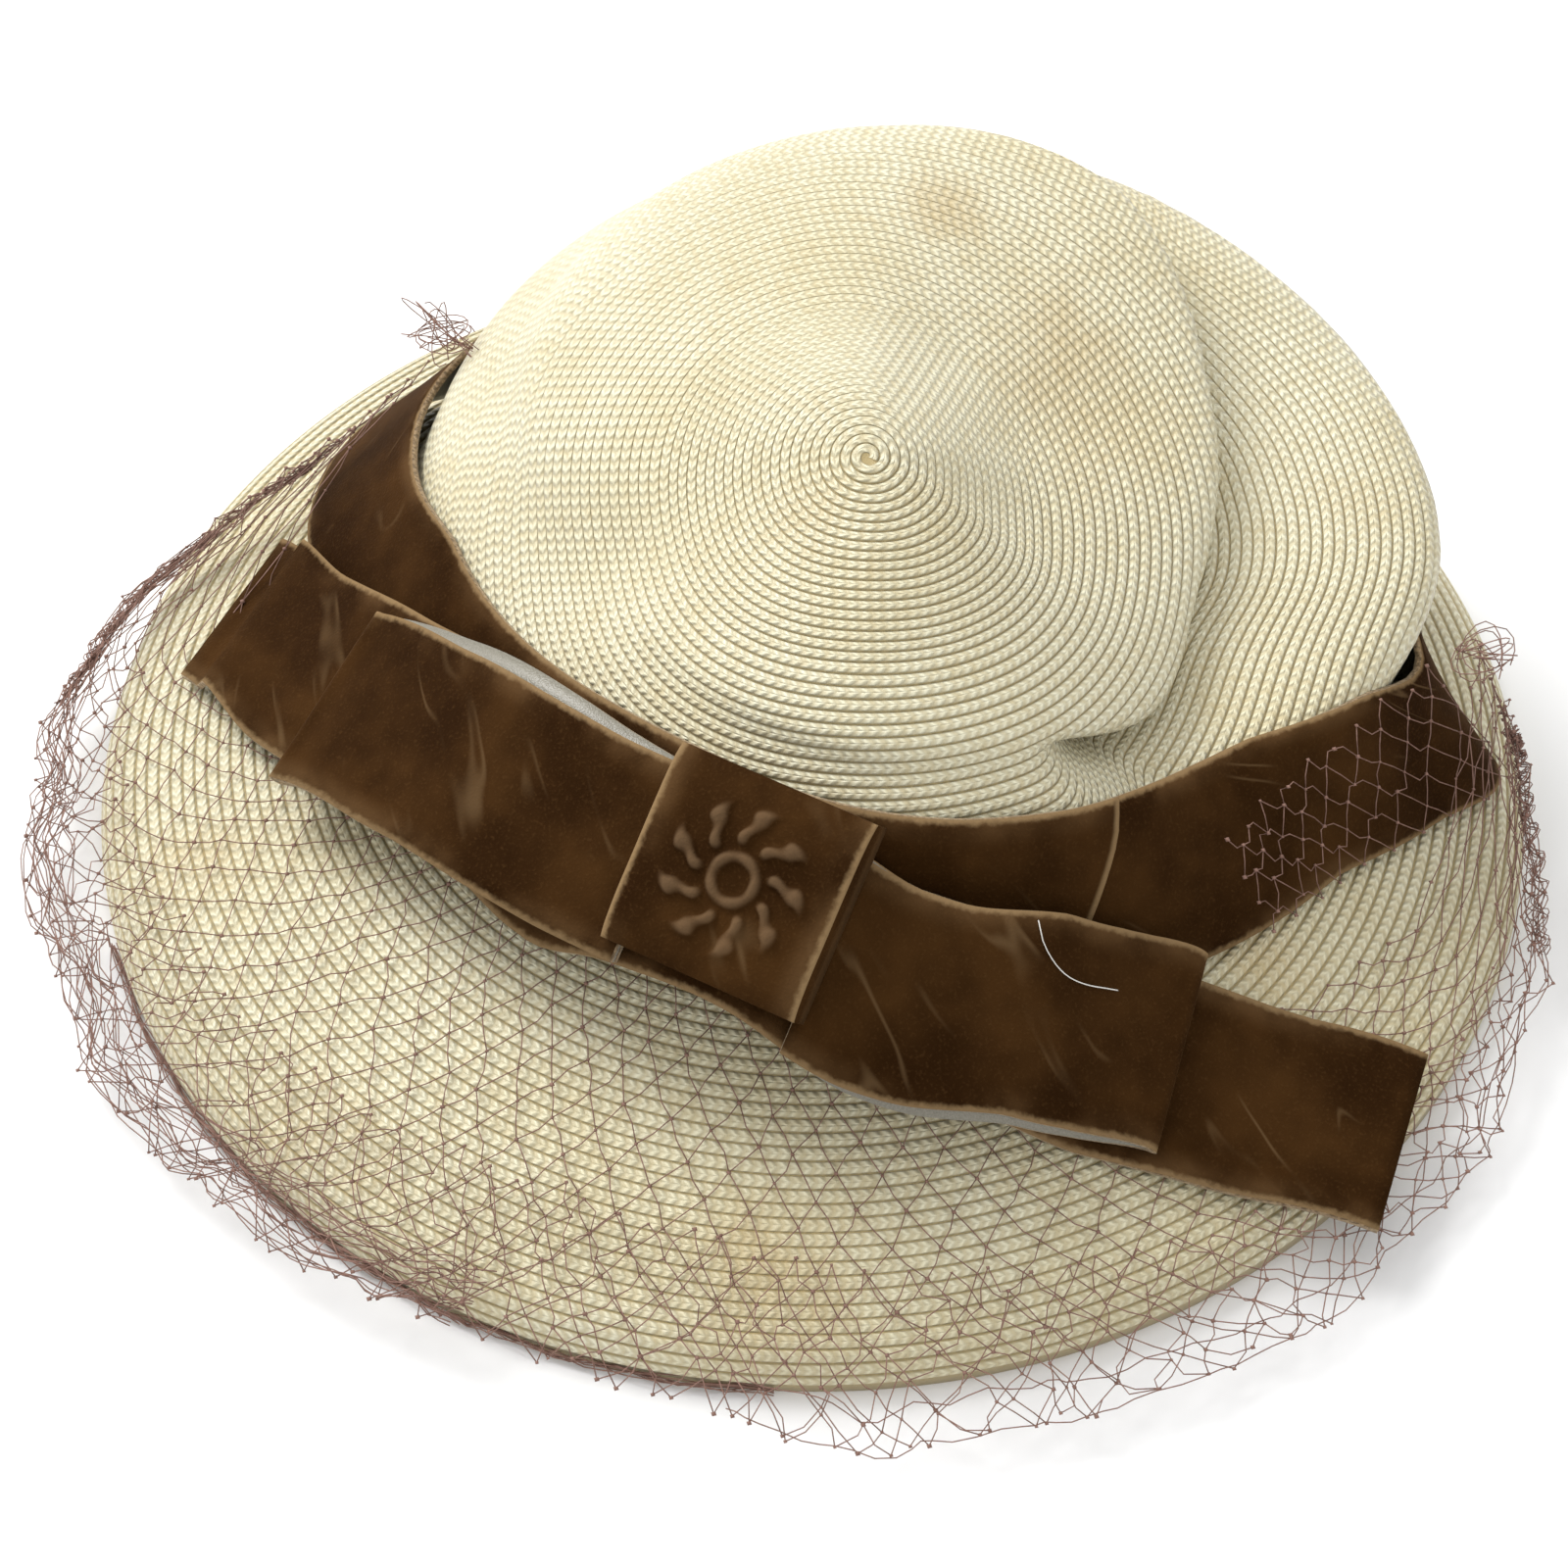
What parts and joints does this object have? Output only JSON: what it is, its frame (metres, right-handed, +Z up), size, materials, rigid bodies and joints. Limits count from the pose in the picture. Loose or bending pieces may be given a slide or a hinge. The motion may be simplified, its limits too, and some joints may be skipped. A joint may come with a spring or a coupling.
{
  "type": "straw hat with ribbon bow and veil",
  "caption": "Round-brimmed straw hat with a tall draped crown, a velvet band and flat bow, and a coarse net veil along the brim.",
  "frame": {"origin": "the middle of the floor of the hat's box, on the surface that it rests on", "axes": "+Z up through the crown, -Y towards the bow at the front, +X to the right seen from the front"},
  "size_m": [0.2572, 0.2578, 0.0878],
  "materials": {
    "straw": "glossy ivory straw braid sewn in a spiral",
    "velvet": "dark brown velvet ribbon with tan edges",
    "net": "mauve-brown knotted net"
  },
  "bodies": {
    "root": {"crown": "straw", "brim": "straw", "band": "velvet", "bow_tails": "velvet", "bow_loop_left": "velvet", "bow_loop_right": "velvet", "bow_knot": "velvet", "veil": "net"}
  },
  "joints": []
}
